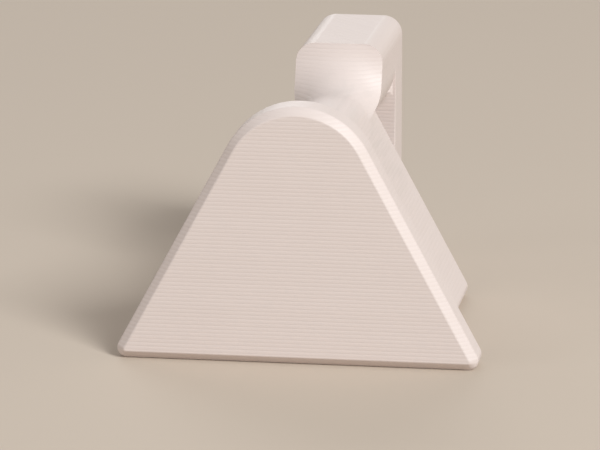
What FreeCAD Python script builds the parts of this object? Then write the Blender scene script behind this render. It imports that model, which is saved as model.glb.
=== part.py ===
import FreeCAD, Part
import math
import os

# A one-piece plastic hook that hangs in an upright slot. What it carries sits astride the
# wedge-shaped saddle, and the lip in front keeps that from sliding off. The peg at the back goes
# through the slot, drops until its neck sits on the slot's lower end, and grips from behind.
#
# The origin is the centre of the neck's section in the plane of the saddle's back.
# +X is to the right, +Y goes from the saddle to the tab, +Z is up. The hook's front faces -Y.

# What the hook is made to fit: upright slots with round ends and a chamfered rim.
panel_thickness = 5.0
slot_width = 5.0
slot_length = 15.0
slot_rim = 0.6

# The play at each side of the neck, in front of the tab, and in the peg's height as it goes in.
side_play = 0.2
panel_play = 0.2
entry_play = 3.0

# The neck, and the tab at its end.
neck_height = 4.6
tab_thickness = 3.5
tab_chamfer = 0.7
tab_corner = 0.3
tab_lead = 1.0

# The saddle, and the lip round it.
saddle_length = 13.5
saddle_width = 13.8
saddle_height = 11.2
ridge_drop = 2.2
ridge_radius = 2.0
saddle_corner = 0.5
lip_overhang = 2.0
lip_thickness = 2.0
lip_root = 0.8
heel_margin = 0.5
front_chamfer = 0.4
front_corner = 0.1

# What follows from the sizes above. The slot's rim clears the fillets at the neck's two ends.
neck_width = slot_width - 2 * side_play
neck_round = neck_width / 2
neck_top = neck_height / 2
neck_fillet = slot_rim - side_play
peg_height = slot_length - entry_play
peg_corner = tab_corner + tab_chamfer
tab_front = panel_thickness + panel_play
tab_back = tab_front + tab_thickness
ridge_top = neck_top - ridge_drop
base = ridge_top - saddle_height
lip_back = -saddle_length
lip_front = lip_back - lip_thickness
lip_corner = front_corner + front_chamfer


def arc(circle, start, end, y):
    """The part of a circle (x, z, radius) between two angles, in the upright plane at y."""
    x, z, radius = circle
    angles = (start, (start + end) / 2, end)
    points = [FreeCAD.Vector(x + radius * math.cos(a), y, z + radius * math.sin(a)) for a in angles]
    return Part.Arc(*points).toShape()


def tangent_angle(first, second):
    """The angle of the outward normal of the line that touches both circles on the outside."""
    across = second[0] - first[0]
    up = second[1] - first[1]
    lean = math.asin((first[2] - second[2]) / math.hypot(across, up))
    return math.atan2(up, across) - math.pi / 2 + lean


def outline(circles, y, inset=0.0):
    """The closed band round circles (x, z, radius), listed anticlockwise, drawn in by inset."""
    circles = [(x, z, radius - inset) for x, z, radius in circles]
    following = circles[1:] + circles[:1]
    angles = [tangent_angle(a, b) for a, b in zip(circles, following)]
    arcs = []
    for circle, start, end in zip(circles, angles[-1:] + angles[:-1], angles):
        turned = end if end > start else end + 2 * math.pi
        arcs.append(arc(circle, start, turned, y))
    edges = []
    for this, after in zip(arcs, arcs[1:] + arcs[:1]):
        edges.append(this)
        edges.append(Part.makeLine(this.lastVertex().Point, after.firstVertex().Point))
    return Part.Wire(edges)


def prism(circles, front, back):
    """The band round the circles, carried straight from front to back."""
    return Part.Face(outline(circles, front)).extrude(FreeCAD.Vector(0, back - front, 0))


def chamfer_block(circles, full, drawn_in, size):
    """The band from its full outline at one y to its outline drawn in by size at the other."""
    return Part.makeLoft([outline(circles, full), outline(circles, drawn_in, size)], True, True)


def wedge(outset, corner):
    """The saddle's wedge, let out by outset at its sides and ridge but level at its flat base."""
    ridge = (0.0, ridge_top - ridge_radius, ridge_radius)
    foot = (saddle_width / 2 - saddle_corner, base + saddle_corner, saddle_corner)
    angle = tangent_angle(foot, ridge)
    right = math.cos(angle)
    up = math.sin(angle)
    reach = foot[0] * right + foot[1] * up + saddle_corner + outset
    half = (reach - corner - (base + corner) * up) / right
    top = (0.0, ridge[1], ridge_radius + outset)
    return [(half, base + corner, corner), top, (-half, base + corner, corner)]


def peg(height):
    """The peg's section: as wide as the slot lets it be, and round below like the slot's end."""
    side = neck_width / 2 - peg_corner
    shoulder = neck_top - peg_corner
    below = (0.0, neck_top - height + neck_round, neck_round)
    return [below, (side, shoulder, peg_corner), (-side, shoulder, peg_corner)]


def fillet_root(body, face, radius):
    """Rounds the corner that the saddle makes with the flat face at y."""
    marks = [e.CenterOfMass for e in outline(wedge(0.0, saddle_corner), face).Edges]
    above = [m for m in marks if m.z > base + saddle_corner / 10]
    root = [e for e in body.Edges if any(e.CenterOfMass.isEqual(m, 1e-4) for m in above)]
    return body.makeFillet(radius, root)


def make_lip():
    """The rounded triangle in front, with its front edge chamfered."""
    shape = wedge(lip_overhang, lip_corner)
    step = lip_front + front_chamfer
    return prism(shape, step, lip_back).fuse(chamfer_block(shape, step, lip_front, front_chamfer))


def make_heel():
    """The cove by which the saddle rises to the neck's top, as wide as the neck."""
    reach = neck_top - ridge_top + heel_margin
    stem = prism(wedge(0.0, saddle_corner), -2 * reach, 0.0)
    plate = prism(wedge(2 * reach, saddle_corner), 0.0, reach)
    flared = fillet_root(stem.fuse(plate).removeSplitter(), 0.0, reach)
    return flared.common(prism(peg(neck_height), -reach, 0.0))


def make_tab():
    """The tab at the neck's end, chamfered round its back and led in at its lower front edge."""
    shape = peg(peg_height)
    step = tab_back - tab_chamfer
    tab = prism(shape, tab_front, step).fuse(chamfer_block(shape, step, tab_back, tab_chamfer))
    low = neck_top - peg_height
    corners = [(tab_front, low), (tab_front + tab_lead, low), (tab_front, low + tab_lead)]
    points = [FreeCAD.Vector(-neck_width, y, z) for y, z in corners]
    lead = Part.Face(Part.makePolygon(points + points[:1]))
    return tab.cut(lead.extrude(FreeCAD.Vector(2 * neck_width, 0, 0)))


def neck_ring(face, inward, bound):
    """The fillet round the neck's underside, against a face at y that bound is the outline of."""
    middle = neck_round - neck_top
    radius = neck_round
    edge = face + inward * neck_fillet
    bend = neck_fillet * (1 - math.sqrt(0.5))
    points = [
        FreeCAD.Vector(radius / 2, face, middle),
        FreeCAD.Vector(radius + neck_fillet, face, middle),
        FreeCAD.Vector(radius + bend, face + inward * bend, middle),
        FreeCAD.Vector(radius, edge, middle),
        FreeCAD.Vector(radius / 2, edge, middle),
    ]
    profile = [
        Part.makeLine(points[0], points[1]),
        Part.Arc(points[1], points[2], points[3]).toShape(),
        Part.makeLine(points[3], points[4]),
        Part.makeLine(points[4], points[0]),
    ]
    axis = FreeCAD.Vector(0, 0, middle), FreeCAD.Vector(0, 1, 0)
    ring = Part.Face(Part.Wire(profile)).revolve(*axis, 360)
    return ring.common(prism(bound, min(face, edge), max(face, edge)))


def make_hook():
    """The whole hook as one solid."""
    saddle = prism(wedge(0.0, saddle_corner), lip_back, 0.0)
    body = fillet_root(make_lip().fuse(saddle).removeSplitter(), lip_back, lip_root)
    neck = prism(peg(neck_height), 0.0, tab_front)
    front_ring = neck_ring(0.0, 1, wedge(0.0, saddle_corner))
    back_ring = neck_ring(tab_front, -1, peg(peg_height))
    return body.fuse([make_heel(), neck, make_tab(), front_ring, back_ring]).removeSplitter()


os.makedirs("parts", exist_ok=True)
hook = make_hook()
hook.exportStep("parts/pegboard_hook.step")
print("valid", hook.isValid(), "solids", len(hook.Solids), "volume", round(hook.Volume, 1))
print("size", hook.BoundBox)
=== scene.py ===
import math
import bmesh
import bpy
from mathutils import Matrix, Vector


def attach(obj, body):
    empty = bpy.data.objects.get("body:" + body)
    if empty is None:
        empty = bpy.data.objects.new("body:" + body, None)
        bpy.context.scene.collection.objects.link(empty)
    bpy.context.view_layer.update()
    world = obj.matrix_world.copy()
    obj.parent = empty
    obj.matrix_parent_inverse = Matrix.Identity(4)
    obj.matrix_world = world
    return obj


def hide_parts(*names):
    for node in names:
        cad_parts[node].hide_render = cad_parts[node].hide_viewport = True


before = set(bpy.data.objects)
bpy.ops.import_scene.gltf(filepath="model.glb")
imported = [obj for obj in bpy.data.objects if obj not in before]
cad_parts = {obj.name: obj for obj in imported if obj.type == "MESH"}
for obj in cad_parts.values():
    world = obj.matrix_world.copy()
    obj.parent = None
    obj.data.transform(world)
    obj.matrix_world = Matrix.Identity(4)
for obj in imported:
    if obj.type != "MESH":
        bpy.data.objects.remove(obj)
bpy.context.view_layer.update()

# A small white plastic hook, printed standing on its flat base. The saddle carries, the lip in
# front keeps what it carries from sliding off, and the neck and the tab at the back hold it.
# The hook is modelled in millimetres and scaled to metres when it is finished. The origin is the
# centre of the neck in the plane of the saddle's back, and the hook's front faces -Y.

MM = 0.001

# The saddle, the lip in front of it, and their rounding.
SADDLE_LENGTH = 13.5
SADDLE_WIDTH = 13.8
BASE = -11.1
RIDGE_RADIUS = 2.0
RIDGE_CENTRE = -1.9
FOOT_RADIUS = 0.5
LIP_OVERHANG = 2.0
LIP_THICKNESS = 2.0
LIP_ROOT = 0.8
FRONT_CHAMFER = 0.4

# The neck, which starts inside the saddle, the cove by which the saddle rises to it, and the tab
# that drops from its end.
NECK_HALF = 2.3
NECK_BURIED = 0.4
SHOULDER_RADIUS = 1.0
HEEL_REACH = 2.7
TAB_DROP = 7.4
TAB_FRONT = 5.2
TAB_BACK = 8.7
TAB_CHAMFER = 0.7
TAB_LEAD = 1.0

# The fillet rings under the neck's two ends: how far they sink into what they join, the lean of
# the cuts by which they fade out, how far inside the tab's sides they end, and their top.
NECK_FILLET = 0.4
RING_SUNK = 0.2
RING_FADE = 1.7
RING_MARGIN = 0.15
RING_TOP = -0.5

# What the nozzle does to every sharp edge.
EDGE_ROUND = 0.15

# How many facets the curves get, and up to which angle between facets they look smooth.
CROWN_STEPS = 36
CORNER_STEPS = 12
COVE_STEPS = 10
EDGE_STEPS = 3
SMOOTH_ANGLE = math.radians(32)

# How far a shape that trims another reaches past it, and how much longer the last chord of a cove
# is than the others, so that it dips into the face that it meets.
FLARE_MARGIN = 1.0
FLARE_OVERRUN = 0.3
RING_OVERRUN = 0.2

# How the parts of a mesh are told apart. Points within the weld are one, and after the pieces are
# joined within the nearness. An end face has more corners than any other face. A face looks along
# an axis from this share of its normal on, the slanting lead-in from a lesser one.
WELD = 1e-4
NEARNESS = 1e-3
END_CORNERS = 40
FACING = 0.9
LEAD_FACING = 0.6

# Where the sides stop belonging to the ridge and start belonging to the feet, and where the tab
# starts for its faces' centres.
SIDE_MIDDLE = 4.3
TAB_START = TAB_FRONT - 0.1

# A skin's normal is upright to this share, and it has more than this many square metres.
LEVEL = 0.99
SKIN_AREA = 5e-6

# The plastic: its two tones, the tone between its layers and where it is rubbed, how much of the
# last two shows, and its refraction.
PLASTIC_DARK = (0.710, 0.617, 0.580)
PLASTIC_LIGHT = (0.734, 0.645, 0.611)
PLASTIC_SEAM = (0.653, 0.559, 0.514)
PLASTIC_RUBBED = (0.565, 0.520, 0.490)
SEAM_SHARE = 0.12
RUBBED_SHARE = 0.22
PLASTIC_IOR = 1.46

# How much the clouds roughen the plastic, how much rubbing polishes it, and how high the grain
# stands in the relief when the beads are 1.
CLOUD_ROUGHNESS = 0.10
RUBBED_POLISH = 0.12
GRAIN_HEIGHT = 0.25

# The finishes of the walls, of the level tops and of the side that lay on the bed: the material,
# its kind of lines and their values, how much it is rubbed, the depth of the relief, and the
# roughness. Lengths are in metres.
LAYERS = {"Layer": 0.0002, "Wobble": 0.1}
TRACKS = {"Track": 0.00045, "Slant": 1.0}
MOTTLE = {"Cloud size": 0.006, "Grain size": 0.0001}
FINISHES = (
    ("printed_wall", "layer_lines", LAYERS, 1.0, 0.000007, 0.42),
    ("printed_skin", "raster_lines", TRACKS, 1.0, 0.000012, 0.54),
    ("bed_side", "raster_lines", TRACKS, 0.0, 0.000005, 0.34),
)

# The lines: how round a bead is, how finely the layers wobble along their length, and a number
# that keeps their count above nought.
BEAD_POWER = 0.6
WOBBLE_SCALE = 260.0
WOBBLE_DETAIL = 1.0
COUNT_START = 1000.0

# The rubbing: on which axis it fades, from none to full in millimetres, and its streaks, which are
# drawn out along the saddle.
RUBBED_LIMITS = (
    ("Z", -7.5, -2.0),
    ("Y", -SADDLE_LENGTH + 0.1, -SADDLE_LENGTH + 1.5),
    ("Y", -0.2, -2.0),
)
STREAK_SCALE = 1800.0
STREAK_DETAIL = 4.0
STREAK_SHAPE = (1.0, 0.12, 1.0)
STREAK_LIMITS = (0.42, 0.68)

# The mottle's two noises: the input that gives the size, the detail, and the output.
MOTTLE_NOISES = (("Cloud size", 3.0, "Cloud"), ("Grain size", 2.0, "Grain"))

# The floor, with faint clouds.
FLOOR_SIZE = 6.0
FLOOR_TONE = (0.549, 0.466, 0.385)
FLOOR_VARIATION = 0.02
FLOOR_ROUGHNESS = 0.85
FLOOR_SCALE = 14.0
FLOOR_DETAIL = 3.0

# The light: each lamp's name, place, size, power and colour, and the light of the air.
LAMPS = (
    ("key_lamp", (0.30, -0.27, 0.30), 0.16, 2.42, (0.96, 0.985, 1.0)),
    ("fill_lamp", (-0.50, -0.36, 0.16), 0.30, 0.5, (0.97, 0.985, 1.0)),
    ("back_lamp", (-0.18, 0.48, 0.28), 0.30, 0.85, (0.97, 0.985, 1.0)),
)
AIR_TONE = (1.0, 0.975, 0.95)
AIR_STRENGTH = 0.31
BACKDROP_STRENGTH = 1.0

# The camera, in metres, and its lens and sensor in millimetres.
CAMERA_PLACE = (0.035, -0.247, 0.0526)
CAMERA_AIM = (0.0, -0.0140, -0.0042)
CAMERA_LENS = 290.0
CAMERA_SENSOR = 36.0
CAMERA_CLIP = 0.01


def tangent_angle(first, second):
    """The angle of the outward normal of the line that touches both circles on the outside."""
    across = second[0] - first[0]
    up = second[1] - first[1]
    lean = math.asin((first[2] - second[2]) / math.hypot(across, up))
    return math.atan2(up, across) - math.pi / 2 + lean


def put_pen(name, place):
    """Starts a piece in edit mode from a plane that is merged to one point."""
    bpy.ops.object.select_all(action="DESELECT")
    bpy.ops.mesh.primitive_plane_add(size=1.0)
    piece = bpy.context.object
    piece.name = name
    bpy.ops.object.mode_set(mode="EDIT")
    bpy.ops.mesh.select_mode(type="VERT")
    bpy.ops.mesh.select_all(action="SELECT")
    bpy.ops.mesh.merge(type="CENTER")
    bpy.ops.transform.translate(value=place)
    return piece


def carry(step):
    """Carries the selected point or face on by a step, and draws what lies between."""
    bpy.ops.mesh.extrude_region_move(TRANSFORM_OT_translate={"value": step})


def weld(reach):
    """Merges the points of the piece in edit mode that lie within reach of each other."""
    bpy.ops.mesh.select_all(action="SELECT")
    bpy.ops.mesh.remove_doubles(threshold=reach)


def draw_band(name, circles, y):
    """A face inside the band round circles (x, z, radius, facets), listed anticlockwise."""
    following = circles[1:] + circles[:1]
    ends = [tangent_angle(a, b) for a, b in zip(circles, following)]
    starts = ends[-1:] + ends[:-1]
    x, z, radius = circles[0][:3]
    piece = put_pen(name, (x + radius * math.cos(starts[0]), y, z + radius * math.sin(starts[0])))
    for this, after, start, end in zip(circles, following, starts, ends):
        x, z, radius, facets = this
        turn = (end - start) % (2 * math.pi)
        bpy.ops.mesh.spin(steps=facets, angle=turn, center=(x, y, z), axis=(0, 1, 0))
        longer = after[2] - radius
        across = after[0] - x + longer * math.cos(end)
        up = after[1] - z + longer * math.sin(end)
        carry((across, 0, up))
    weld(WELD)
    bpy.ops.mesh.edge_face_add()
    return piece


def draw_loop(name, points):
    """A closed line through the points."""
    piece = put_pen(name, points[0])
    for this, after in zip(points, points[1:] + points[:1]):
        carry([b - a for a, b in zip(this, after)])
    weld(WELD)
    return piece


def pick(kind, test):
    """Selects the edges or faces of the piece in edit mode that pass the test."""
    bpy.ops.mesh.select_mode(type=kind)
    bpy.ops.mesh.select_all(action="DESELECT")
    shape = bmesh.from_edit_mesh(bpy.context.object.data)
    shape.normal_update()
    for element in {"EDGE": shape.edges, "FACE": shape.faces}[kind]:
        if test(element):
            element.select_set(True)
    shape.select_flush_mode()


def turn_outwards():
    """Turns all faces of the piece in edit mode outwards."""
    bpy.ops.mesh.select_all(action="SELECT")
    bpy.ops.mesh.normals_make_consistent(inside=False)


def finish_edit():
    """Merges doubles, turns all faces outwards and leaves edit mode."""
    weld(WELD)
    turn_outwards()
    bpy.ops.object.mode_set(mode="OBJECT")


def chords(radius, start, end, steps):
    """The chords of an arc as (length, heading) pairs, for headings from start to end."""
    turn = (end - start) / steps
    length = 2 * radius * math.sin(abs(turn) / 2)
    return [(length, start + turn * (n + 0.5)) for n in range(steps)]


def side_heading():
    """The angle of the outward normal of the saddle's right side."""
    foot = (SADDLE_WIDTH / 2 - FOOT_RADIUS, BASE + FOOT_RADIUS, FOOT_RADIUS)
    return tangent_angle(foot, (0.0, RIDGE_CENTRE, RIDGE_RADIUS))


def wedge(outset):
    """The saddle's band, let out by outset at its sides and ridge but level at its flat base."""
    ridge = (0.0, RIDGE_CENTRE, RIDGE_RADIUS + outset, CROWN_STEPS)
    shift = outset / math.cos(side_heading())
    foot = SADDLE_WIDTH / 2 - FOOT_RADIUS + shift
    right = (foot, BASE + FOOT_RADIUS, FOOT_RADIUS, CORNER_STEPS)
    left = (-foot, BASE + FOOT_RADIUS, FOOT_RADIUS, CORNER_STEPS)
    return [right, ridge, left]


def pick_end(facing):
    """Selects the piece's end face that looks to the front, -1, or to the back, 1."""
    pick("FACE", lambda face: len(face.verts) > END_CORNERS and face.normal.y * facing > FACING)


def keep_picked(test):
    """Keeps only those of the picked vertices that pass the test."""
    bpy.ops.mesh.select_mode(type="VERT")
    shape = bmesh.from_edit_mesh(bpy.context.object.data)
    for vertex in shape.verts:
        if vertex.select and not test(vertex.co):
            vertex.select_set(False)
    shape.select_flush_mode()


def let_out(radius, growth):
    """Lets the front end out: the feet slide on the base, the ridge grows round its centre."""
    slide = growth / math.cos(side_heading())
    for side in (1, -1):
        pick_end(-1)
        keep_picked(lambda place: place.x * side > SIDE_MIDDLE)
        bpy.ops.transform.translate(value=(side * slide, 0, 0))
    pick_end(-1)
    keep_picked(lambda place: abs(place.x) < SIDE_MIDDLE)
    factor = (radius + growth) / radius
    bpy.ops.transform.resize(value=(factor, 1, factor), center_override=(0, 0, RIDGE_CENTRE))
    pick_end(-1)


def carry_front(path, radius):
    """Carries the front end on along a path of (length, heading) pairs, heading outwards."""
    for length, heading in path:
        growth = length * math.sin(heading)
        onwards = length * math.cos(heading)
        pick_end(-1)
        carry((0, -onwards, 0))
        let_out(radius, growth)
        radius += growth


def round_end(facing, path):
    """Carries the picked end face on along a path of (length, heading) pairs, heading inwards."""
    pick_end(facing)
    for length, heading in path:
        inwards = length * math.sin(heading)
        onwards = length * math.cos(heading)
        bpy.ops.mesh.inset(thickness=inwards, depth=onwards, use_even_offset=True)


def rounded_rim():
    """The path round a sharp rim of 90 degrees, as the nozzle leaves it."""
    return chords(EDGE_ROUND, 0.0, math.pi / 2, EDGE_STEPS)


def chamfered_rim(chamfer):
    """The path over a chamfer whose own two edges are rounded."""
    half = chords(EDGE_ROUND, 0.0, math.pi / 4, EDGE_STEPS)
    flat = chamfer * math.sqrt(2) - 2 * EDGE_ROUND * math.tan(math.pi / 8)
    return half + [(flat, math.pi / 4)] + chords(EDGE_ROUND, math.pi / 4, math.pi / 2, EDGE_STEPS)


def rim_depth(chamfer):
    """How far a chamfered rim reaches along the piece."""
    return sum(length * math.cos(heading) for length, heading in chamfered_rim(chamfer))


def model_front():
    """The saddle and its lip as one shell, carried forward from its back to the lip's face."""
    piece = draw_band("hook", wedge(0.0), -EDGE_ROUND)
    carry((0, LIP_ROOT + EDGE_ROUND - SADDLE_LENGTH, 0))
    turn_outwards()
    root = chords(LIP_ROOT, 0.0, math.pi / 2, COVE_STEPS)
    plate = [(LIP_OVERHANG - LIP_ROOT - EDGE_ROUND, math.pi / 2)]
    rim = chords(EDGE_ROUND, math.pi / 2, 0.0, EDGE_STEPS)
    carry_front(root + plate + rim, RIDGE_RADIUS)
    carry((0, EDGE_ROUND + rim_depth(FRONT_CHAMFER) - LIP_THICKNESS, 0))
    round_end(-1, chamfered_rim(FRONT_CHAMFER))
    round_end(1, rounded_rim())
    pick("FACE", lambda face: all(abs(v.co.z - BASE) < NEARNESS for v in face.verts))
    bpy.ops.mesh.dissolve_faces()
    finish_edit()
    return piece


def is_tab_front_edge(edge):
    """Whether the tab's front face or its slanting lead-in meets the tab's side in the edge."""
    front = [face.normal.y < -LEAD_FACING and face.calc_center_median().y > TAB_START
             for face in edge.link_faces]
    return edge.is_convex and front.count(True) == 1


def model_peg():
    """The neck, which starts inside the saddle, and the tab that drops from its end."""
    shoulder = NECK_HALF - SHOULDER_RADIUS
    below = (0.0, 0.0, NECK_HALF, CROWN_STEPS)
    right = (shoulder, shoulder, SHOULDER_RADIUS, CORNER_STEPS)
    left = (-shoulder, shoulder, SHOULDER_RADIUS, CORNER_STEPS)
    start = -HEEL_REACH - NECK_BURIED
    piece = draw_band("peg", [below, right, left], start)
    carry((0, TAB_FRONT - start, 0))
    carry((0, TAB_BACK - rim_depth(TAB_CHAMFER) - TAB_FRONT, 0))
    turn_outwards()
    pick("FACE", lambda face: face.normal.z < -NEARNESS
         and face.calc_center_median().y > TAB_FRONT)
    carry((0, 0, -TAB_DROP))
    for facing in (-1, 1):
        pick("FACE", lambda face: face.normal.y * facing > FACING
             and face.calc_center_median().y > TAB_START)
        bpy.ops.mesh.dissolve_faces()
    round_end(1, chamfered_rim(TAB_CHAMFER))
    pick("FACE", lambda face: face.calc_center_median().y > TAB_START)
    corner = (0, TAB_FRONT + TAB_LEAD, -NECK_HALF - TAB_DROP)
    bpy.ops.mesh.bisect(plane_co=corner, plane_no=(0, -1, -1), use_fill=True, clear_outer=True)
    pick("EDGE", is_tab_front_edge)
    bpy.ops.mesh.bevel(offset=EDGE_ROUND, segments=EDGE_STEPS, affect="EDGES")
    finish_edit()
    return piece


def model_flare():
    """What the peg is trimmed to: the saddle's band, which opens in a cove towards the back."""
    back = TAB_BACK + FLARE_MARGIN
    piece = draw_band("flare", wedge(HEEL_REACH), back)
    carry((0, -back, 0))
    turn_outwards()
    cove = chords(HEEL_REACH, -math.pi / 2, 0.0, COVE_STEPS)
    length, heading = cove[-1]
    carry_front(cove + [(length * FLARE_OVERRUN, heading)], RIDGE_RADIUS + HEEL_REACH)
    finish_edit()
    return piece


def cove_line(reach, overrun):
    """The hollow of a cove as (along, outward) points, a little past both faces that it joins."""
    points = [(reach, 0.0)]
    for length, heading in chords(reach, 0.0, math.pi / 2, COVE_STEPS):
        along, outward = points[-1]
        points.append((along - length * math.cos(heading), outward + length * math.sin(heading)))
    first = [a + (a - b) * overrun for a, b in zip(points[0], points[1])]
    last = [a + (a - b) * overrun for a, b in zip(points[-1], points[-2])]
    return [first] + points[1:-1] + [last]


def model_ring(name, face, inward):
    """The fillet all round the neck against the flat face at y."""
    hollow = cove_line(NECK_FILLET, RING_OVERRUN)
    points = [(0, face + inward * along, -NECK_HALF - outward) for along, outward in hollow]
    points += [(0, face - inward * RING_SUNK, points[-1][2])]
    points += [(0, face - inward * RING_SUNK, -NECK_HALF + RING_SUNK)]
    points += [(0, points[0][1], -NECK_HALF + RING_SUNK)]
    piece = draw_loop(name, points)
    bpy.ops.mesh.select_all(action="SELECT")
    bpy.ops.mesh.spin(steps=2 * CROWN_STEPS, angle=2 * math.pi, center=(0, 0, 0), axis=(0, 1, 0))
    finish_edit()
    return piece


def take_up(piece):
    """Makes the piece the only one that is selected."""
    bpy.ops.object.select_all(action="DESELECT")
    piece.select_set(True)
    bpy.context.view_layer.objects.active = piece


def slice_off(piece, place, outward):
    """Cuts a piece along a plane and drops what lies outwards of it."""
    take_up(piece)
    bpy.ops.object.mode_set(mode="EDIT")
    bpy.ops.mesh.select_all(action="SELECT")
    bpy.ops.mesh.bisect(plane_co=place, plane_no=outward, use_fill=True, clear_outer=True)
    finish_edit()


def model_front_ring():
    """The fillet against the saddle's back, which ends at the saddle's two sides."""
    ring = model_ring("front_ring", 0.0, 1)
    heading = side_heading()
    reach = RIDGE_RADIUS + RIDGE_CENTRE * math.sin(heading) - EDGE_ROUND
    for side in (1, -1):
        outward = Vector((side * math.cos(heading), 0, math.sin(heading)))
        slice_off(ring, outward * reach, outward)
        slice_off(ring, outward * reach, outward + Vector((0, RING_FADE, 0)))
    slice_off(ring, (0, 0, RING_TOP), (0, 0, 1))
    return ring


def model_back_ring():
    """The fillet against the tab's front, which ends at the tab's two sides."""
    ring = model_ring("back_ring", TAB_FRONT, -1)
    for side in (1, -1):
        end = (side * (NECK_HALF - RING_MARGIN), TAB_FRONT, 0)
        slice_off(ring, end, (side, 0, 0))
        slice_off(ring, end, (side, -RING_FADE, 0))
    slice_off(ring, (0, 0, RING_TOP), (0, 0, 1))
    return ring


def work_in(piece, other, operation):
    """Joins the other piece to this one or trims this one to it, and removes the other."""
    take_up(piece)
    bpy.ops.object.modifier_add(type="BOOLEAN")
    step = piece.modifiers[-1]
    step.operation = operation
    step.solver = "EXACT"
    step.object = other
    bpy.ops.object.modifier_apply(modifier=step.name)
    bpy.data.objects.remove(other)


def model_hook():
    """The whole hook as one closed shell."""
    hook = model_front()
    peg = model_peg()
    work_in(peg, model_flare(), "INTERSECT")
    for other in (peg, model_front_ring(), model_back_ring()):
        work_in(hook, other, "UNION")
    bpy.ops.object.mode_set(mode="EDIT")
    weld(NEARNESS)
    bpy.ops.mesh.dissolve_degenerate(threshold=NEARNESS)
    finish_edit()
    return hook


def set_shading(piece):
    """Smooth curves, crisp edges, and normals that keep the large flat faces flat."""
    bpy.ops.object.shade_smooth_by_angle(angle=SMOOTH_ANGLE)
    bpy.ops.object.modifier_add(type="WEIGHTED_NORMAL")
    weighting = piece.modifiers[-1]
    weighting.keep_sharp = True
    bpy.ops.object.modifier_apply(modifier=weighting.name)


def to_metres(piece):
    """Scales the finished piece from millimetres to metres."""
    piece.scale = (MM, MM, MM)
    bpy.ops.object.transform_apply(location=True, rotation=True, scale=True)


def opaque(colour):
    """A colour with full cover, as a colour input takes it."""
    return (*colour, 1.0)


def add(tree, kind, **settings):
    """Adds a node and sets its own properties."""
    node = tree.nodes.new("ShaderNode" + kind)
    for key, value in settings.items():
        setattr(node, key, value)
    return node


def feed(tree, value, target):
    """Gives an input what another node puts out, or a plain value."""
    if isinstance(value, bpy.types.NodeSocket):
        tree.links.new(value, target)
    else:
        target.default_value = value


def calculate(tree, operation, *values):
    """A Math node on one to three values, each a socket or a number."""
    node = add(tree, "Math", operation=operation)
    for target, value in zip(node.inputs, values):
        feed(tree, value, target)
    return node.outputs[0]


def blend_colour(tree, amount, first, second):
    """A colour between two others. The Mix node's colours are its inputs 6 and 7 and output 2."""
    node = add(tree, "Mix", data_type="RGBA")
    for number, value in ((0, amount), (6, first), (7, second)):
        feed(tree, value, node.inputs[number])
    return node.outputs[2]


def fade(tree, value, none, full):
    """Rises smoothly from 0 to 1 while the value goes from none to full."""
    node = add(tree, "MapRange", interpolation_type="SMOOTHSTEP")
    for label, given in (("Value", value), ("From Min", none), ("From Max", full)):
        feed(tree, given, node.inputs[label])
    return node.outputs[0]


def noise_at(tree, place, scale, detail):
    """Soft noise between 0 and 1 at a place."""
    node = add(tree, "TexNoise")
    for label, value in (("Vector", place), ("Scale", scale), ("Detail", detail)):
        feed(tree, value, node.inputs[label])
    return node.outputs[0]


def own_place(tree):
    """The place on the piece, in its own coordinates."""
    return add(tree, "TexCoord").outputs["Object"]


def take_apart(tree, place):
    """The X, Y and Z of a place."""
    node = add(tree, "SeparateXYZ")
    feed(tree, place, node.inputs[0])
    return node.outputs


def new_group(name, inputs, outputs):
    """An empty shader node group with float inputs, given with their values, and float outputs."""
    group = bpy.data.node_groups.new(name, "ShaderNodeTree")
    for label, value in inputs.items():
        socket = group.interface.new_socket(name=label, in_out="INPUT",
                                            socket_type="NodeSocketFloat")
        socket.default_value = value
    for label in outputs:
        group.interface.new_socket(name=label, in_out="OUTPUT", socket_type="NodeSocketFloat")
    return group, group.nodes.new("NodeGroupInput"), group.nodes.new("NodeGroupOutput")


def put_out_lines(group, position, result):
    """A rounded bead for each unit of the position, and a tone that differs from bead to bead."""
    count = calculate(group, "ADD", position, COUNT_START)
    turn = calculate(group, "MULTIPLY", calculate(group, "FRACT", count), math.pi)
    bead = calculate(group, "POWER", calculate(group, "SINE", turn), BEAD_POWER)
    tone = add(group, "TexWhiteNoise", noise_dimensions="1D")
    feed(group, calculate(group, "FLOOR", count), tone.inputs["W"])
    feed(group, bead, result.inputs["Bead"])
    feed(group, tone.outputs["Value"], result.inputs["Tone"])


def make_layer_lines():
    """The printed layers, one above the other."""
    group, given, result = new_group("layer_lines", LAYERS, ["Bead", "Tone"])
    place = own_place(group)
    noise = noise_at(group, place, WOBBLE_SCALE, WOBBLE_DETAIL)
    shake = calculate(group, "MULTIPLY", calculate(group, "SUBTRACT", noise, 0.5),
                      given.outputs["Wobble"])
    height = calculate(group, "DIVIDE", take_apart(group, place)["Z"], given.outputs["Layer"])
    put_out_lines(group, calculate(group, "ADD", height, shake), result)
    return group


def make_raster_lines():
    """The slanting tracks of the nozzle on a level skin."""
    group, given, result = new_group("raster_lines", TRACKS, ["Bead", "Tone"])
    apart = take_apart(group, own_place(group))
    slanted = calculate(group, "MULTIPLY", apart["Y"], given.outputs["Slant"])
    across = calculate(group, "MULTIPLY", calculate(group, "ADD", apart["X"], slanted),
                       math.sqrt(0.5))
    put_out_lines(group, calculate(group, "DIVIDE", across, given.outputs["Track"]), result)
    return group


def make_mottle():
    """Soft clouds over the surface, and a fine grain."""
    group, given, result = new_group("mottle", MOTTLE, ["Cloud", "Grain"])
    place = own_place(group)
    for size, detail, output in MOTTLE_NOISES:
        scale = calculate(group, "DIVIDE", 1.0, given.outputs[size])
        feed(group, noise_at(group, place, scale, detail), result.inputs[output])
    return group


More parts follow.
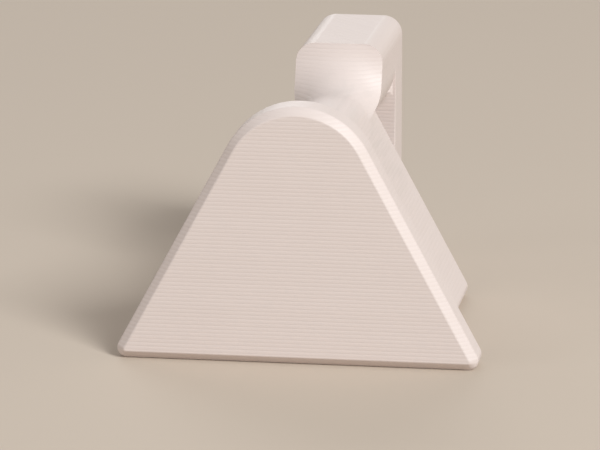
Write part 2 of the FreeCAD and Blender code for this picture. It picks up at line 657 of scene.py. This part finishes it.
def make_rubbing():
    """Where use has rubbed the saddle, in streaks along it."""
    group, given, result = new_group("rubbing", {"Strength": 1.0}, ["Mask"])
    place = own_place(group)
    apart = take_apart(group, place)
    mask = given.outputs["Strength"]
    for axis, none, full in RUBBED_LIMITS:
        share = fade(group, apart[axis], none * MM, full * MM)
        mask = calculate(group, "MULTIPLY", mask, share)
    stretch = add(group, "Mapping")
    feed(group, place, stretch.inputs["Vector"])
    feed(group, STREAK_SHAPE, stretch.inputs["Scale"])
    streaks = noise_at(group, stretch.outputs[0], STREAK_SCALE, STREAK_DETAIL)
    patch = fade(group, streaks, *STREAK_LIMITS)
    feed(group, calculate(group, "MULTIPLY", mask, patch), result.inputs["Mask"])
    return group


def use(tree, group, values):
    """Places a node group in a material with its own values, and returns what it puts out."""
    node = tree.nodes.new("ShaderNodeGroup")
    node.node_tree = group
    for label, value in values.items():
        node.inputs[label].default_value = value
    return node.outputs


def make_plastic(groups, name, lines, line_values, rubbing, depth, roughness):
    """White printed plastic whose beads come from the given kind of lines."""
    material = bpy.data.materials.new(name)
    material.use_nodes = True
    tree = material.node_tree
    shader = tree.nodes["Principled BSDF"]
    shader.inputs["IOR"].default_value = PLASTIC_IOR
    beads = use(tree, groups[lines], line_values)
    mottle = use(tree, groups["mottle"], MOTTLE)
    rubbed = use(tree, groups["rubbing"], {"Strength": rubbing})["Mask"]
    seams = calculate(tree, "MULTIPLY", beads["Tone"], SEAM_SHARE)
    wear = calculate(tree, "MULTIPLY", rubbed, RUBBED_SHARE)
    plain = blend_colour(tree, mottle["Cloud"], opaque(PLASTIC_DARK), opaque(PLASTIC_LIGHT))
    seamed = blend_colour(tree, seams, plain, opaque(PLASTIC_SEAM))
    worn = blend_colour(tree, wear, seamed, opaque(PLASTIC_RUBBED))
    feed(tree, worn, shader.inputs["Base Color"])
    cloudy = calculate(tree, "MULTIPLY_ADD", mottle["Cloud"], CLOUD_ROUGHNESS, roughness)
    polish = calculate(tree, "MULTIPLY", rubbed, RUBBED_POLISH)
    feed(tree, calculate(tree, "SUBTRACT", cloudy, polish), shader.inputs["Roughness"])
    grain = calculate(tree, "MULTIPLY", mottle["Grain"], GRAIN_HEIGHT)
    relief = add(tree, "Bump")
    relief.inputs["Strength"].default_value = 1.0
    relief.inputs["Distance"].default_value = depth
    feed(tree, calculate(tree, "ADD", beads["Bead"], grain), relief.inputs["Height"])
    feed(tree, relief.outputs[0], shader.inputs["Normal"])
    return material


def dress(piece, materials):
    """Puts the wall's finish all over, then the skin's on level tops and the bed's below."""
    for material in materials:
        piece.data.materials.append(material)
    bpy.ops.object.mode_set(mode="EDIT")
    for slot, upwards in ((1, 1), (2, -1)):
        pick("FACE", lambda face: face.normal.z * upwards > LEVEL
             and face.calc_area() > SKIN_AREA)
        piece.active_material_index = slot
        bpy.ops.object.material_slot_assign()
    bpy.ops.object.mode_set(mode="OBJECT")


def lay_floor():
    """A pale floor that runs far out under the hook."""
    bpy.ops.object.select_all(action="DESELECT")
    bpy.ops.mesh.primitive_plane_add(size=FLOOR_SIZE, location=(0, 0, BASE * MM))
    floor = bpy.context.object
    floor.name = "floor"
    paint = bpy.data.materials.new("floor_paint")
    paint.use_nodes = True
    tree = paint.node_tree
    shader = tree.nodes["Principled BSDF"]
    shader.inputs["Roughness"].default_value = FLOOR_ROUGHNESS
    clouds = noise_at(tree, own_place(tree), FLOOR_SCALE, FLOOR_DETAIL)
    dark, light = [opaque(c * change for c in FLOOR_TONE)
                   for change in (1 - FLOOR_VARIATION, 1 + FLOOR_VARIATION)]
    feed(tree, blend_colour(tree, clouds, dark, light), shader.inputs["Base Color"])
    floor.data.materials.append(paint)


def hang_lamp(name, place, size, power, colour):
    """A square soft lamp that faces the hook."""
    bpy.ops.object.light_add(type="AREA", location=place)
    lamp = bpy.context.object
    lamp.name = name
    lamp.data.size = size
    lamp.data.energy = power
    lamp.data.color = colour
    lamp.visible_camera = False
    lamp.rotation_euler = (-Vector(place)).to_track_quat("-Z", "Y").to_euler()


def glow(tree, colour, strength):
    """Even light of one colour from all round."""
    node = add(tree, "Background")
    node.inputs["Color"].default_value = opaque(colour)
    node.inputs["Strength"].default_value = strength
    return node.outputs[0]


def light_the_air():
    """Even light from all round, and a pale backdrop for the camera and for reflections."""
    world = bpy.data.worlds.new("studio_air")
    bpy.context.scene.world = world
    world.use_nodes = True
    tree = world.node_tree
    tree.nodes.clear()
    rays = add(tree, "LightPath").outputs
    mirrored = calculate(tree, "ADD", rays["Is Glossy Ray"], rays["Is Transmission Ray"])
    seen = calculate(tree, "ADD", rays["Is Camera Ray"], mirrored)
    soft = glow(tree, AIR_TONE, AIR_STRENGTH)
    backdrop = glow(tree, FLOOR_TONE, BACKDROP_STRENGTH)
    either = add(tree, "MixShader")
    for target, value in zip(either.inputs, (seen, soft, backdrop)):
        feed(tree, value, target)
    feed(tree, either.outputs[0], add(tree, "OutputWorld").inputs["Surface"])


def set_camera():
    """The photograph's view: 8.5 degrees to the right of the hook and 13.5 above it."""
    place = Vector(CAMERA_PLACE)
    bpy.ops.object.camera_add(location=place)
    camera = bpy.context.object
    camera.rotation_euler = (Vector(CAMERA_AIM) - place).to_track_quat("-Z", "Y").to_euler()
    camera.data.sensor_width = CAMERA_SENSOR
    camera.data.lens = CAMERA_LENS
    camera.data.clip_start = CAMERA_CLIP
    bpy.context.scene.camera = camera


hook = model_hook()
set_shading(hook)
to_metres(hook)
groups = {
    "layer_lines": make_layer_lines(),
    "raster_lines": make_raster_lines(),
    "mottle": make_mottle(),
    "rubbing": make_rubbing(),
}
dress(hook, [make_plastic(groups, *finish) for finish in FINISHES])
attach(hook, "root")
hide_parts("pegboard_hook")

lay_floor()
for lamp in LAMPS:
    hang_lamp(*lamp)
light_the_air()
set_camera()
bpy.context.scene.view_settings.view_transform = "Standard"
